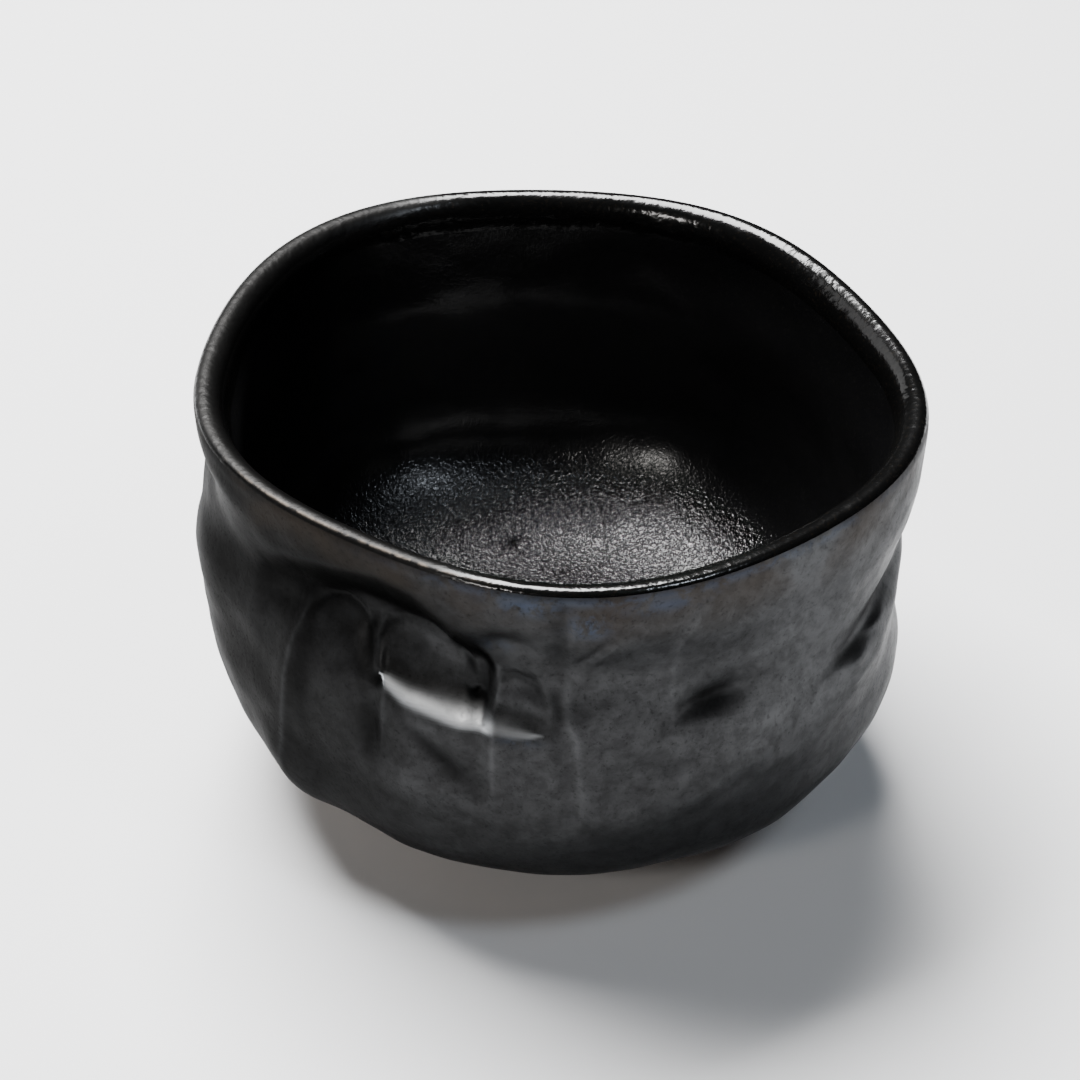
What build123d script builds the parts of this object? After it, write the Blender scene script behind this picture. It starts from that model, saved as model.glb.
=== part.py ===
"""A hand-formed black tea bowl: stoneware wall, applied foot ring, luting slip and three coats of glaze.

Millimetres, +Z up. The origin is on the surface that the bowl stands on, in the middle of the bowl.
Bearings are degrees round +Z from +X, and the front of the bowl, with the finger dents, is at -90.

Every level of the wall is a closed curve at one height. A meridian gives the level's mean radius,
slow waves make its plan a little oval with five soft corners, and presses push it in or let it out.
The clay wall is one loft through its levels: up the outside, over the lip and down to the well.
The glazed outside and inside are a second loft, one coat further out, and the coats are what
the second loft has and the first one hasn't.
"""

import os
from math import cos, exp, hypot, pi, radians, sin

from build123d import *

# The clay wall
CLAY_HEIGHT = 79.4
RIM_RADIUS = 60.6
BELLY_RADIUS = 60.8
BELLY_HEIGHT = 38.0
BELLY_FULLNESS = 2.45
WAIST_HEIGHT = 60.0
WAIST_HALF_HEIGHT = 8.0
WAIST_DEPTH = 1.3
BASE_RADIUS = 31.0
BASE_HEIGHT = 7.6
WALL_SHIFT = (0.05, 1.2)

# The plan's slow waves
OVAL_WAVE = 2.0
OVAL_BEARING = -45.0
CORNER_COUNT = 5
CORNER_WAVE = 1.15
CORNER_BEARING = -15.0
WAVE_SHARE_AT_BASE = 0.6
WAVE_RISE = 30.0

# The lip and the inside
LIP_OUTER_WIDTH = 1.7
LIP_OUTER_HEIGHT = 2.6
LIP_OUTER_FULLNESS = 2.5
LIP_INNER_WIDTH = 2.5
LIP_INNER_HEIGHT = 5.4
LIP_INNER_FULLNESS = 2.1
WALL_AT_BELLY = 5.6
INNER_BELLY_HEIGHT = 40.0
INNER_FULLNESS = 2.2
INNER_PRESS_SHARE = 0.6
WELL_RADIUS = 20.0
WELL_HEIGHT = 14.0
POOL_DEPTH = 0.9
POOL_RADIUS = 13.0
FLOOR_CAP_RADIUS = 6.0

# The coats
GLAZE = 0.6
LIP_GLAZE_DROP = 6.0
BARE_LEVELS = 3  # levels of the wall above the base that stay bare clay

# The foot ring and the slip that holds it
FOOT_RADIUS = 29.0
FOOT_WIDTH = 6.0
FOOT_TAPER = 1.2
FOOT_HEIGHT = 7.2
TREAD_ROUND = 1.0
SLIP_BEAD = 1.3

POINTS_PER_LEVEL = 72
SEAM_BEARING = 90.0
BELLY_LEVELS = 9
WALL_LEVELS = 14
LIP_LEVELS = 3
INNER_WALL_LEVELS = 9
INNER_BELLY_LEVELS = 8

# Where hands pressed the soft wall: bearing, height, half bearing, half height, depth (a bulge is
# minus), rise in height per degree of bearing, and edge (2 is soft, 4 is firm).
PRESSES = [
    (-118, 62, 34, 7, 2.6, 0.0, 2),  # belt under the collar
    (-124, 68, 19, 5, 1.8, 0.0, 2),  # undercut of the collar over the fingers
    (-150, 50, 10, 12, 1.4, 0.0, 4),  # first finger
    (-131, 56, 6.5, 7, 1.5, 0.0, 4),  # second finger
    (-112, 58, 10, 9, 2.6, 0.0, 4),  # third finger
    (-95, 56, 4.5, 6.5, 1.2, 0.0, 4),  # fourth finger
    (-66, 53.5, 7, 4, 1.6, 0.12, 2),  # thumb
    (-30, 54, 26, 6, 1.4, 0.2, 2),  # groove rising to the right
    (-8, 42, 20, 12, 3.6, 0.0, 2),  # palm, right side
    (-176, 70, 16, 5, 3.4, 0.0, 2),  # nick under the collar, left side
    (62, 56, 26, 10, 2.0, -0.1, 2),  # palm, back right
    (118, 52, 20, 12, 1.8, 0.1, 2),  # palm, back left
    (-172, 52, 14, 12, -1.6, 0.0, 2),  # belly let out, left side
    (-160, 33, 12, 10, 0.5, 0.0, 2),  # flat beside the low corner
    (-141, 17, 6, 8, -1.9, 0.0, 2),  # low corner, front left
    (-116, 15, 18, 8, -1.7, 0.0, 2),  # low swelling, front
    (-50, 15, 16, 8, -1.5, 0.0, 2),  # low corner, front right
    (-34, 31, 14, 9, 1.6, 0.0, 2),  # flat above the low corner, front right
]
PRESS_FREE_BELOW_RIM = 2.0
PRESS_FADE = 6.0


def smooth(share):
    """0 to 1 with level ends."""
    share = min(max(share, 0.0), 1.0)
    return share * share * (3 - 2 * share)


def quarter(fullness, turn):
    """A point of a quarter superellipse of unit size, from (0, 1) at turn 0 to (1, 0) at turn 1."""
    angle = turn * pi / 2
    return sin(angle) ** (2 / fullness), abs(cos(angle)) ** (2 / fullness)


def waves(bearing, height):
    """How far the plan stands out of a circle at the belly's radius, in full a little above the base."""
    share = WAVE_SHARE_AT_BASE + (1 - WAVE_SHARE_AT_BASE) * smooth((height - BASE_HEIGHT) / WAVE_RISE)
    oval = OVAL_WAVE * cos(2 * radians(bearing - OVAL_BEARING))
    corners = CORNER_WAVE * cos(CORNER_COUNT * radians(bearing - CORNER_BEARING))
    return share * (oval + corners)


def pressed(bearing, height):
    """How far the presses take the wall in at one place. They fade out below the rim."""
    total = 0.0
    for centre, level, half_bearing, half_height, depth, rise, edge in PRESSES:
        across = (bearing - centre + 180) % 360 - 180
        along = height - level - rise * across
        total += depth * exp(-(abs(across / half_bearing) ** edge) - abs(along / half_height) ** edge)
    return total * smooth((CLAY_HEIGHT - PRESS_FREE_BELOW_RIM - height) / PRESS_FADE)


def outer_radius(height):
    """Mean radius of the outside above the belly."""
    up = (height - BELLY_HEIGHT) / (CLAY_HEIGHT - BELLY_HEIGHT)
    waist = WAIST_DEPTH * exp(-(((height - WAIST_HEIGHT) / WAIST_HALF_HEIGHT) ** 2))
    return BELLY_RADIUS + (RIM_RADIUS - BELLY_RADIUS) * up - waist


def inner_radius(height):
    """Mean radius of the inside above the inner belly: the wall thins evenly to the lip's width."""
    up = (height - INNER_BELLY_HEIGHT) / (CLAY_HEIGHT - LIP_INNER_HEIGHT - INNER_BELLY_HEIGHT)
    lip_width = LIP_OUTER_WIDTH + LIP_INNER_WIDTH
    return outer_radius(height) - WALL_AT_BELLY - (lip_width - WALL_AT_BELLY) * up


def clay_levels():
    """The wall's section as (mean radius, height, share of the presses), from the base to the well."""
    levels = []
    for i in range(BELLY_LEVELS):
        out, down = quarter(BELLY_FULLNESS, i / BELLY_LEVELS)
        radius = BASE_RADIUS + (outer_radius(BELLY_HEIGHT) - BASE_RADIUS) * out
        levels.append((radius, BELLY_HEIGHT - (BELLY_HEIGHT - BASE_HEIGHT) * down, 1.0))
    lip_start = CLAY_HEIGHT - LIP_OUTER_HEIGHT
    for i in range(WALL_LEVELS):
        height = BELLY_HEIGHT + (lip_start - BELLY_HEIGHT) * i / WALL_LEVELS
        levels.append((outer_radius(height), height, 1.0))
    peak = outer_radius(lip_start) - LIP_OUTER_WIDTH
    for i in range(LIP_LEVELS + 1):
        out, up = quarter(LIP_OUTER_FULLNESS, 1 - i / LIP_LEVELS)
        levels.append((peak + LIP_OUTER_WIDTH * out, lip_start + LIP_OUTER_HEIGHT * up, 0.0))
    lip_end = CLAY_HEIGHT - LIP_INNER_HEIGHT
    lip_reach = peak - inner_radius(lip_end)
    for i in range(1, LIP_LEVELS + 1):
        out, up = quarter(LIP_INNER_FULLNESS, i / LIP_LEVELS)
        share = INNER_PRESS_SHARE * i / LIP_LEVELS
        levels.append((peak - lip_reach * out, lip_end + LIP_INNER_HEIGHT * up, share))
    for i in range(1, INNER_WALL_LEVELS + 1):
        height = lip_end + (INNER_BELLY_HEIGHT - lip_end) * i / INNER_WALL_LEVELS
        levels.append((inner_radius(height), height, INNER_PRESS_SHARE))
    for i in range(1, INNER_BELLY_LEVELS + 1):
        out, down = quarter(INNER_FULLNESS, 1 - i / INNER_BELLY_LEVELS)
        radius = WELL_RADIUS + (inner_radius(INNER_BELLY_HEIGHT) - WELL_RADIUS) * out
        height = INNER_BELLY_HEIGHT - (INNER_BELLY_HEIGHT - WELL_HEIGHT) * down
        levels.append((radius, height, INNER_PRESS_SHARE))
    levels.append((POOL_RADIUS, WELL_HEIGHT - POOL_DEPTH, 0.0))
    levels.append((FLOOR_CAP_RADIUS, WELL_HEIGHT - POOL_DEPTH, 0.0))
    return levels


def coated(levels, coat):
    """The same section one coat further out, square to the wall at every level."""
    moved = []
    for i, (radius, height, share) in enumerate(levels):
        before = levels[max(i - 1, 0)]
        after = levels[min(i + 1, len(levels) - 1)]
        run, rise = after[0] - before[0], after[1] - before[1]
        length = hypot(run, rise)
        moved.append((radius + coat * rise / length, height - coat * run / length, share))
    return moved


def level_curve(radius, height, share):
    """The closed curve of one level."""
    points = []
    for i in range(POINTS_PER_LEVEL):
        bearing = SEAM_BEARING + 360 * i / POINTS_PER_LEVEL
        plan_wave = waves(bearing, height) * radius / BELLY_RADIUS
        reach = radius + plan_wave - share * pressed(bearing, height)
        x = WALL_SHIFT[0] + reach * cos(radians(bearing))
        y = WALL_SHIFT[1] + reach * sin(radians(bearing))
        points.append(Vector(x, y))
    steps = [i / POINTS_PER_LEVEL for i in range(POINTS_PER_LEVEL + 1)]
    return Edge.make_spline(points, periodic=True, parameters=steps)


levels = clay_levels()

with BuildPart() as clay_wall:
    for radius, height, share in levels:
        with BuildSketch(Plane.XY.offset(height)):
            with BuildLine():
                add(level_curve(radius, height, share))
            make_face()
    loft()

with BuildPart() as coats:
    for radius, height, share in coated(levels, GLAZE)[BARE_LEVELS:]:
        with BuildSketch(Plane.XY.offset(height)):
            with BuildLine():
                add(level_curve(radius, height, share))
            make_face()
    loft()
    add(clay_wall.part, mode=Mode.SUBTRACT)

lip_line = Plane.XY.offset(CLAY_HEIGHT + GLAZE - LIP_GLAZE_DROP)

with BuildPart() as lip_glaze:
    add(coats.part)
    split(bisect_by=lip_line, keep=Keep.TOP)

with BuildPart() as lower_coats:
    add(coats.part)
    split(bisect_by=lip_line, keep=Keep.BOTTOM)

lower_inside, lower_outside = lower_coats.solids().sort_by(lambda solid: solid.bounding_box().size.X)

with BuildPart() as inner_glaze:
    add(lower_inside)

with BuildPart() as outer_glaze:
    add(lower_outside)

with BuildPart() as foot_ring:
    with BuildSketch(Plane.XZ):
        with BuildLine():
            Polyline(
                (FOOT_RADIUS - FOOT_WIDTH, FOOT_HEIGHT),
                (FOOT_RADIUS, FOOT_HEIGHT),
                (FOOT_RADIUS - FOOT_TAPER, 0),
                (FOOT_RADIUS - FOOT_WIDTH + FOOT_TAPER / 2, 0),
                close=True,
            )
        make_face()
    revolve(axis=Axis.Z)
    fillet(foot_ring.edges().group_by(Axis.Z)[0], TREAD_ROUND)

with BuildPart() as luting_slip:
    with BuildSketch(Plane.XZ):
        with BuildLine():
            inner_top = (FOOT_RADIUS - FOOT_WIDTH - SLIP_BEAD, BASE_HEIGHT)
            outer_top = (FOOT_RADIUS + SLIP_BEAD, BASE_HEIGHT)
            inner_low = (FOOT_RADIUS - FOOT_WIDTH + SLIP_BEAD / 4, FOOT_HEIGHT - SLIP_BEAD)
            outer_low = (FOOT_RADIUS - SLIP_BEAD / 4, FOOT_HEIGHT - SLIP_BEAD)
            RadiusArc(inner_top, inner_low, -2 * SLIP_BEAD)
            Line(inner_low, outer_low)
            RadiusArc(outer_low, outer_top, -2 * SLIP_BEAD)
            Line(outer_top, inner_top)
        make_face()
    revolve(axis=Axis.Z)
    add(foot_ring.part, mode=Mode.SUBTRACT)

clay_wall.part.label = "clay_wall"
foot_ring.part.label = "foot_ring"
luting_slip.part.label = "luting_slip"
inner_glaze.part.label = "inner_glaze"
lip_glaze.part.label = "lip_glaze"
outer_glaze.part.label = "outer_glaze"

os.makedirs("parts", exist_ok=True)
export_step(clay_wall.part, "parts/clay_wall.step")
export_step(foot_ring.part, "parts/foot_ring.step")
export_step(luting_slip.part, "parts/luting_slip.step")
export_step(inner_glaze.part, "parts/inner_glaze.step")
export_step(lip_glaze.part, "parts/lip_glaze.step")
export_step(outer_glaze.part, "parts/outer_glaze.step")
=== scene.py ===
"""A hand-formed black tea bowl on a pale table, in metres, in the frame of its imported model.

The wall is one meridian, carried round the bowl: mean radius, plus the plan's slow waves, minus
the presses of the hands, plus the fine marks of the fingers. Bearings are degrees round +Z from +X,
and the front of the bowl is at -90. Shapes are worked out in millimetres and stored in metres.
"""

import math

import bpy
import numpy as np
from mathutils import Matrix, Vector


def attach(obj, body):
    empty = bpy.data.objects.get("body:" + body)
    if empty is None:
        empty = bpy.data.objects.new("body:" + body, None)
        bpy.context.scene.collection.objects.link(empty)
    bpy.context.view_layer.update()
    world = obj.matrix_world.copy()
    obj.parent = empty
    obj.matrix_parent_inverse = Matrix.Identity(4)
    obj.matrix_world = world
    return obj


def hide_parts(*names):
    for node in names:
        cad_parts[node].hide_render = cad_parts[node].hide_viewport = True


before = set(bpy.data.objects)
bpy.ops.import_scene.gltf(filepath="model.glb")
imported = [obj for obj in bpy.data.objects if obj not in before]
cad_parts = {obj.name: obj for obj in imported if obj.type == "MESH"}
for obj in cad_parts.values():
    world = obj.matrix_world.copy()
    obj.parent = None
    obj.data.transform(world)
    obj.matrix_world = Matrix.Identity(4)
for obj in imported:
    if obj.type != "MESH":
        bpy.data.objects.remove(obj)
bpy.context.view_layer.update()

MM = 0.001
scene = bpy.context.scene

# ---- the wall's own sizes, in millimetres ----
CLAY_HEIGHT = 79.4
RIM_RADIUS = 60.6
BELLY_RADIUS = 60.8
BELLY_HEIGHT = 38.0
BELLY_FULLNESS = 2.45
WAIST_HEIGHT = 60.0
WAIST_HALF_HEIGHT = 8.0
WAIST_DEPTH = 1.3
BASE_RADIUS = 31.0
BASE_HEIGHT = 7.6
WALL_SHIFT = (0.05, 1.2)
OVAL_WAVE = 2.0
OVAL_BEARING = -45.0
CORNER_COUNT = 5
CORNER_WAVE = 1.15
CORNER_BEARING = -15.0
WAVE_SHARE_AT_BASE = 0.6
WAVE_RISE = 30.0
LIP_OUTER_WIDTH = 1.1
LIP_OUTER_HEIGHT = 1.5
LIP_OUTER_FULLNESS = 2.6
LIP_INNER_WIDTH = 3.1
LIP_INNER_HEIGHT = 5.4
LIP_INNER_FULLNESS = 2.1
WALL_AT_BELLY = 5.6
INNER_BELLY_HEIGHT = 40.0
INNER_FULLNESS = 2.2
INNER_PRESS_SHARE = 0.6
INNER_MARK_SHARE = 0.8
WELL_RADIUS = 20.0
WELL_HEIGHT = 14.0
WELL_FADE_FROM = 0.1
WELL_FADE_RUN = 0.3
POOL_DEPTH = 0.9
POOL_RADIUS = 10.0
GLAZE = 0.6
CLAY_UNDER_GLAZE = -0.04
FOOT_RADIUS = 29.0
FOOT_WIDTH = 6.0
FOOT_TAPER = 1.2
FOOT_HEIGHT = 7.2
FOOT_ROUNDINGS = [0.3, 0.3, 1.1, 0.9]
SLIP_BEAD = 1.3
SLIP_GAP = 0.02
FOOT_WOBBLE = 0.08
SLIP_WOBBLE = 0.12
TRIM_PITCH = 2.3
TRIM_DEPTH = 0.1

# Where the three coats meet: heights on the outside and on the inside.
GLAZE_LINE = 11.7
LIP_COAT_OUTSIDE = 79.2
LIP_COAT_INSIDE = 74.0

# Big presses: bearing, height, half bearing, half height, depth (a bulge is minus), rise in height
# per degree of bearing, and edge (2 is soft, 4 is firm).
PRESSES = [
    (-118, 62, 34, 7, 2.6, 0.0, 2),  # belt under the collar
    (-150, 50, 10, 12, 1.4, 0.0, 4),  # first finger
    (-30, 54, 26, 6, 1.4, 0.2, 2),  # groove rising to the right
    (-8, 42, 20, 12, 3.6, 0.0, 2),  # palm, right side
    (-176, 70, 16, 5, 3.4, 0.0, 2),  # nick under the collar, left side
    (62, 56, 26, 10, 2.0, -0.1, 2),  # palm, back right
    (118, 52, 20, 12, 1.8, 0.1, 2),  # palm, back left
    (-172, 52, 14, 12, -1.6, 0.0, 2),  # belly let out, left side
    (-160, 33, 12, 10, 0.5, 0.0, 2),  # flat beside the low corner
    (-141, 17, 6, 8, -1.9, 0.0, 2),  # low corner, front left
    (-116, 15, 18, 8, -1.7, 0.0, 2),  # low swelling, front
    (-50, 15, 16, 8, -1.5, 0.0, 2),  # low corner, front right
    (-34, 31, 14, 9, 1.6, 0.0, 2),  # flat above the low corner, front right
]
# Fine presses, outside only, in the same terms.
FINE_PRESSES = [
    (-66.5, 53.4, 5.6, 2.0, 0.9, 0.12, 2),  # thumb
    (-65.0, 53.5, 10.0, 5.0, 1.3, 0.12, 2),  # soft hollow round the thumb
    (-56.0, 46.5, 6.0, 3.0, -0.4, 0.0, 2),  # clay pushed up beside the thumb
    (-38.0, 48.8, 6.5, 1.7, 0.8, 0.10, 2),  # short crease, right
    (-26.0, 52.5, 13.0, 2.5, 1.3, 0.14, 2),  # long crease, right
    (-29.5, 49.2, 3.0, 0.8, -0.3, 0.0, 2),  # crumb of clay under the long crease
    (-35.5, 46.0, 2.6, 1.0, -0.3, 0.2, 2),  # crumb of clay
    (-35.5, 42.0, 2.6, 0.9, -0.25, 0.2, 2),  # crumb of clay
    (-121.0, 42.0, 3.2, 6.5, 0.9, 0.0, 2),  # valley below the second crease
    (-108.5, 42.5, 6.0, 2.4, 0.6, -0.7, 2),  # slanting fold under the third finger
    (-112.0, 34.5, 9.0, 3.5, -0.9, 0.0, 2),  # swelling under the fold
    (-131.0, 43.0, 7.0, 7.0, 0.6, 0.0, 2),  # flat below the second finger
    (-133.0, 28.0, 8.0, 8.0, 1.0, 0.0, 2),  # low hollow beside the corner
    (-97.5, 67.5, 4.0, 2.8, 1.5, 0.0, 2),  # hollow over the fourth finger
    (-103.0, 54.2, 1.2, 0.6, 0.7, 0.0, 2),  # pit at the corner of the third finger
    (-120.8, 51.6, 1.0, 1.0, 0.6, 0.0, 2),  # pit at its other corner
    (-89.5, 67.0, 2.6, 6.5, 0.5, 0.0, 2),  # valley along the long crease
]
# The presses stop below the rim, and the fine relief and its lumps calm down over the lip and inside.
PRESS_FREE_BELOW_RIM = 2.0
PRESS_FADE = 6.0
LIP_CALM = 4.0
LUMPS_INSIDE = 0.5

# Finger dents: bearings of the left and right walls at the top and at the bottom, height where the
# dent starts below the collar, height of the ledge's foot, height of the ledge, and depth. The side
# walls run in over some degrees, and the top and the foot bow down towards the sides.
FINGER_DENTS = [
    (-140.0, -121.5, -140.0, -119.5, 64.0, 47.5, 8.0, 2.6),  # second finger
    (-127.0, -98.0, -123.0, -95.8, 66.0, 48.6, 5.4, 3.3),  # third finger
    (-104.5, -89.5, -104.0, -87.5, 60.0, 48.8, 4.8, 1.6),  # fourth finger
]
DENT_LEFT_WALL = 4.5
DENT_RIGHT_WALL = 5.5
DENT_TOP_BOW = 3.0
DENT_TOP_RUN = 9.0
LEDGE_BOW = 1.2
LEDGE_EASE = 0.25
SHELF_EASE = 0.15

# The undercut of the collar: at each bearing, the height of its edge and the depth that it reaches.
UNDERCUT_BEARINGS = [-160, -150, -147, -140, -132, -124, -119, -113, -109, -106, -103, -98, -92, -84]
UNDERCUT_EDGE = [60, 63, 66.5, 70.5, 72.5, 74.5, 75.8, 75.2, 73, 70.5, 68.5, 70, 69, 67]
UNDERCUT_DEPTH = [0, 1.0, 2.8, 4.0, 4.3, 4.6, 4.3, 3.9, 3.4, 2.6, 2.0, 1.6, 0.7, 0]
UNDERCUT_RISE = 10.5
UNDERCUT_EASE = 0.7
UNDERCUT_END_EASE = 0.12
UNDERCUT_FADE_FROM = 41.0
UNDERCUT_FADE_RUN = 24.0
JOIN_EASE = 0.15
JOIN_DROP = 0.19

# Creases and webs that ran between the fingers: (height, bearing) from the bottom up, height of the
# web (a crease is minus), half width in degrees on its left and on its right, and the height of
# the thin bead beside it, on the right.
CREASES = [
    ([(20, -143.0), (30, -141.3), (40, -139.8), (50, -139.3), (56, -138.4), (62, -138.2)],
     0.6, 5.0, 1.2, 0.0),  # web between the first and second fingers
    ([(36, -121.8), (48, -121.4), (50.5, -121.2), (54, -123.4), (58, -125.2), (62, -125.0)],
     -0.55, 2.2, 1.2, 0.12),  # between the second and third
    ([(33, -102.2), (44, -102.0), (50, -101.9), (54, -101.6), (60, -101.2), (64, -102.4)],
     -0.6, 2.2, 1.2, 0.12),  # between the third and fourth
    ([(30, -87.4), (40, -87.8), (48, -88.2), (54, -89.2), (58, -89.8), (62, -89.2)],
     -0.3, 1.5, 0.7, 0.05),  # long crease, lower part
    ([(60, -89.2), (68, -89.8), (74, -89.3), (79, -88.3)],
     -0.35, 1.6, 0.9, 0.05),  # long crease, up to the lip
    ([(61, -88.9), (65, -86.3), (68.5, -83.8), (71, -82.5)],
     -0.25, 1.0, 1.0, 0.05),  # its fork to the right
    ([(48, -72.6), (56, -72.6), (66, -72.2), (71, -70.0), (75, -68.4)],
     0.07, 0.9, 0.5, 0.0),  # faint thread of glaze
]
CREASE_RUN_OUT = 4.0
BEAD_PLACE = 1.9
BEAD_HALF_WIDTH = 0.5

# Arches of clay over the fingertips: (bearing, height) from left to right.
ARCHES = [
    [(-139, 52), (-137.5, 58), (-134.5, 61), (-131, 62), (-128, 61), (-125.5, 58.5)],
    [(-123.8, 56), (-122, 60), (-118, 62.8), (-112, 63.8), (-106, 61.2), (-102.8, 57.5)],
    [(-100.4, 56.5), (-98.8, 59.6), (-96.3, 60.6), (-93.3, 59.6), (-91.2, 56.5)],
]
ARCH_DEPTH = 0.35
ARCH_HALF_WIDTH = 0.8
ARCH_FADE = 2.0
ARCH_END_SHARE = 0.2

# The glazes' looks round the bowl: share of pewter in the outer glaze, and of satin on the lip.
# On the creases' ridges the glaze ran thin and shows more pewter, with a painted highlight along them.
PEWTER_BEARINGS = [-270, -230, -190, -150, -115, -85, -40, 10, 50, 90]
PEWTER_SHARES = [0.6, 0.35, 0.10, 0.10, 0.30, 0.52, 0.95, 1, 0.8, 0.6]
RIDGE_PEWTER_AND_HIGHLIGHT = 0.22
RIDGE_HALF_WIDTH = 0.55
SATIN_BEARINGS = [-255, -225, -205, -165, -140, -112, -98]
SATIN_SHARES = [0, 0.6, 1, 1, 0.5, 0.35, 0]
# Painted shade, black where the wall lies in shade: bearing, height, half bearing, half height, share,
# rise. A share above 1 keeps the patch full further from its middle. The shade is also painted
# under overhangs, fully so from a slope on, and along the arches.
SHADE_SLOPE = 0.36
ARCH_SHADE = 0.6
PAINTED_SHADE_PATCHES = [
    (-138, 65.8, 19, 7.2, 1.6, 0.22),  # under the collar, left
    (-121, 68.4, 14, 6.2, 1.6, 0.0),  # under the collar, over the third finger
    (-104, 66.5, 5, 3.5, 0.9, -0.1),  # under the collar, over the fourth finger
    (-101.5, 57.0, 1.6, 5.5, 0.8, 0.0),  # crease between the third and fourth fingers
    (-103.2, 54.2, 1.6, 1.0, 1.0, 0.0),  # pit at the third finger's right corner
    (-121.0, 51.8, 1.3, 1.4, 1.0, 0.0),  # pit at its left corner
    (-124.5, 58.0, 1.3, 5.0, 0.8, 0.0),  # crease between the second and third fingers
    (-136.5, 46.0, 2.2, 13, 0.6, 0.0),  # beside the first crease
    (-121.0, 42.0, 3.5, 6.0, 0.8, 0.0),  # valley below the second crease
    (-108.5, 42.0, 6.5, 1.8, 0.8, -0.7),  # slanting fold
    (-131.0, 28.0, 12, 7.0, 0.5, 0.0),  # low hollow, left
    (-66.5, 53.8, 6.0, 1.7, 1.0, 0.12),  # thumb
    (-64.0, 54.0, 11, 4.0, 0.45, 0.12),  # round the thumb
    (-38.0, 48.8, 5.5, 1.0, 0.7, 0.10),  # short crease, right
    (-26.0, 53.0, 12, 1.5, 0.7, 0.14),  # long crease, right
    (-89.3, 70.0, 1.4, 8.0, 0.5, 0.0),  # upper crease, front
    (-90.0, 53.0, 1.2, 6.0, 0.4, 0.0),  # its lower part
]
# Painted light: a higher pewter share where the wall faces the light, in the same terms.
PAINTED_LIGHT_PATCHES = [
    (-150, 52.0, 7, 9.0, 0.10, 0.0),  # first finger
    (-131, 56.0, 5, 4.0, 0.14, 0.0),  # second finger
    (-112, 58.5, 7, 3.5, 0.18, 0.0),  # third finger
    (-95.5, 55.5, 3.5, 3.5, 0.22, 0.0),  # fourth finger
    (-112, 34.5, 7, 2.6, 0.16, 0.0),  # swelling under the fold
    (-111, 47.0, 7, 1.4, 0.14, 0.0),  # below the third finger's ledge
    (-55.5, 46.5, 3.0, 2.0, 0.30, 0.0),  # pushed up beside the thumb
    (-97.0, 51.6, 2.0, 1.3, 0.50, 0.0),  # ledge of the fourth finger
]
# Painted highlight: a crescent of near-white metal on the ledges of the third and fourth fingers.
HIGHLIGHT_BEARINGS = [-121, -119, -115, -110, -105, -101, -97, -92]
HIGHLIGHT_HEIGHTS = [52.4, 51.8, 50.8, 50.2, 49.9, 49.8, 50.2, 50.6]
HIGHLIGHT_HALF_HEIGHTS = [0.1, 1.0, 1.5, 2.0, 2.4, 2.2, 1.4, 0.1]
HIGHLIGHT_SLOPE_FROM = 0.08
HIGHLIGHT_SLOPE_RUN = 0.34
# Milky blue patches, in the same terms.
HAZE_PATCHES = [
    (-85.5, 73.5, 2.6, 2.2, 1.0, 0.0),
    (-94.0, 77.0, 5.0, 1.5, 0.9, 0.0),
    (-74.0, 76.5, 6.0, 1.3, 0.7, 0.0),
    (-100.0, 66.5, 3.0, 1.5, 0.4, 0.0),
    (-96.0, 49.3, 3.0, 0.8, 0.4, 0.0),
]
FRINGE_BEARING, FRINGE_HALF_BEARING = -72.0, 40.0
FRINGE_HEIGHT, FRINGE_HALF_HEIGHT = 78.4, 0.9
FRINGE_SHARE = 0.6
# Lines along the lip's outer corner: first and last bearing, run-in and run-out in degrees, rows of
# the section before its top, and half width in rows.
TAN_LINE = (-158, -96, 20, 14, 16, 5.0)
CRACK_LINE = (-186, -138, 12, 12, 24, 3.5)
SATIN_END_ROWS = 20
SATIN_FADE_ROWS = 40

# Colours of the glazes and of the clay's grit, with alpha.
TAR = (0.0035, 0.0033, 0.003, 1)
PEWTER = (0.054, 0.055, 0.057, 1)
RIM_BROWN = (0.026, 0.020, 0.015, 1)
MILKY_BLUE = (0.036, 0.050, 0.080, 1)
DARK_SPECK = (0.006, 0.006, 0.006, 1)
# Painted shade: black for the hollows and the undercut.
PAINTED_SHADE_BLACK = (0.0015, 0.0015, 0.0015, 1)
# Painted highlight: near-white metal for the ledges.
PAINTED_HIGHLIGHT_GLOSS = (0.74, 0.76, 0.78, 1)
GLOSS_BLACK = (0.002, 0.002, 0.002, 1)
GLOSS_SPECK = (0.012, 0.009, 0.006, 1)
SATIN_GREY = (0.021, 0.0205, 0.020, 1)
BROKEN_TAN = (0.045, 0.034, 0.024, 1)
CRACK_BLACK = (0.001, 0.001, 0.001, 1)
LEATHER_BLACK = (0.003, 0.003, 0.0032, 1)
LEATHER_SPECK = (0.010, 0.009, 0.0085, 1)
CLAY_GRIT = (0.015, 0.012, 0.010, 1)

# Heights in metres, for the materials: where the rim's brown and the floor's wrinkles start and are full.
BROWN_FROM, BROWN_FULL = 0.066, 0.076
WRINKLES_FROM, WRINKLES_FULL = 0.030, 0.019

# A crater in the floor's glaze with creases raying out from it, in metres.
SCAR = (-0.008, 0.0362, 0.0157)
SCAR_RAYS = 9.0
SCAR_REACH, SCAR_RIM, SCAR_CRATER, SCAR_CORE = 0.0045, 0.001, 0.0009, 0.0003
SCAR_DEPTH = -1.2

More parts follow.
